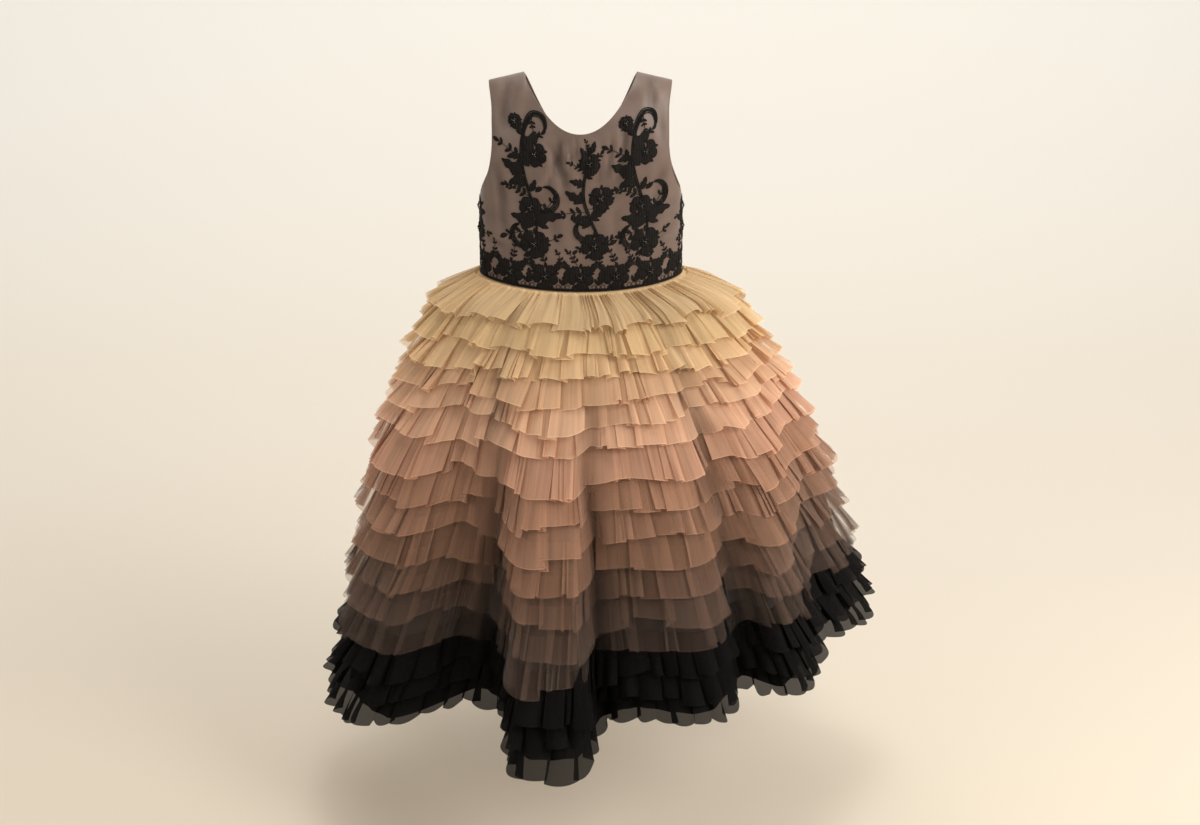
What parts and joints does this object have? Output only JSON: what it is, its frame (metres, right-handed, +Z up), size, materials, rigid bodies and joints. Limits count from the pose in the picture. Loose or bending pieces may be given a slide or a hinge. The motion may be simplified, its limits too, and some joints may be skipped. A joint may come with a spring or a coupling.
{
  "type": "ball gown",
  "caption": "Girl's sleeveless ball gown, filled out and hollow: satin bodice with black corded lace, full skirt of gathered tulle ruffles shading from yellow to black",
  "frame": {"origin": "midway between the tops of the two shoulder straps, where the wearer's shoulders hold the gown up", "axes": "+Z up along the gown, +X to the left of a wearer facing the viewer's side (-Y), +Y to the back"},
  "size_m": [0.7504, 0.7164, 0.8434],
  "materials": {
    "satin": "soft satin",
    "lace": "matt corded lace",
    "zip_tape": "woven tape",
    "zip_metal": "darkened metal",
    "yellow_tulle": "sheer tulle",
    "peach_tulle": "sheer tulle",
    "blush_tulle": "sheer tulle",
    "nude_tulle": "sheer tulle",
    "dusk_tulle": "sheer tulle",
    "black_tulle": "sheer tulle"
  },
  "bodies": {
    "gown": {"bodice_front": "satin", "bodice_back_left": "satin", "bodice_back_right": "satin", "lace_branch_left": "lace", "lace_branch_centre": "lace", "lace_branch_right": "lace", "lace_side_left": "lace", "lace_side_right": "lace", "lace_branch_back_left": "lace", "lace_branch_back_right": "lace", "lace_waist_front": "lace", "lace_waist_back_left": "lace", "lace_waist_back_right": "lace", "zip_tape": "zip_tape", "zip_slider": "zip_metal", "skirt_base": "black_tulle", "tier_01": "yellow_tulle", "tier_02": "yellow_tulle", "tier_03": "yellow_tulle", "tier_04": "peach_tulle", "tier_05": "peach_tulle", "tier_06": "peach_tulle", "tier_07": "blush_tulle", "tier_08": "blush_tulle", "tier_09": "blush_tulle", "tier_10": "nude_tulle", "tier_11": "nude_tulle", "tier_12": "dusk_tulle", "tier_13": "dusk_tulle", "hem_black_1": "black_tulle", "hem_black_2": "black_tulle", "hem_black_3": "black_tulle"},
    "pull": {"zip_pull": "zip_metal"}
  },
  "joints": [
    {"name": "pull_hinge", "type": "hinge", "parent": "gown", "child": "pull", "pos_m": [0, 0.0625, -0.119], "axis": [1, 0, 0], "range_deg": [-8, 180]}
  ]
}
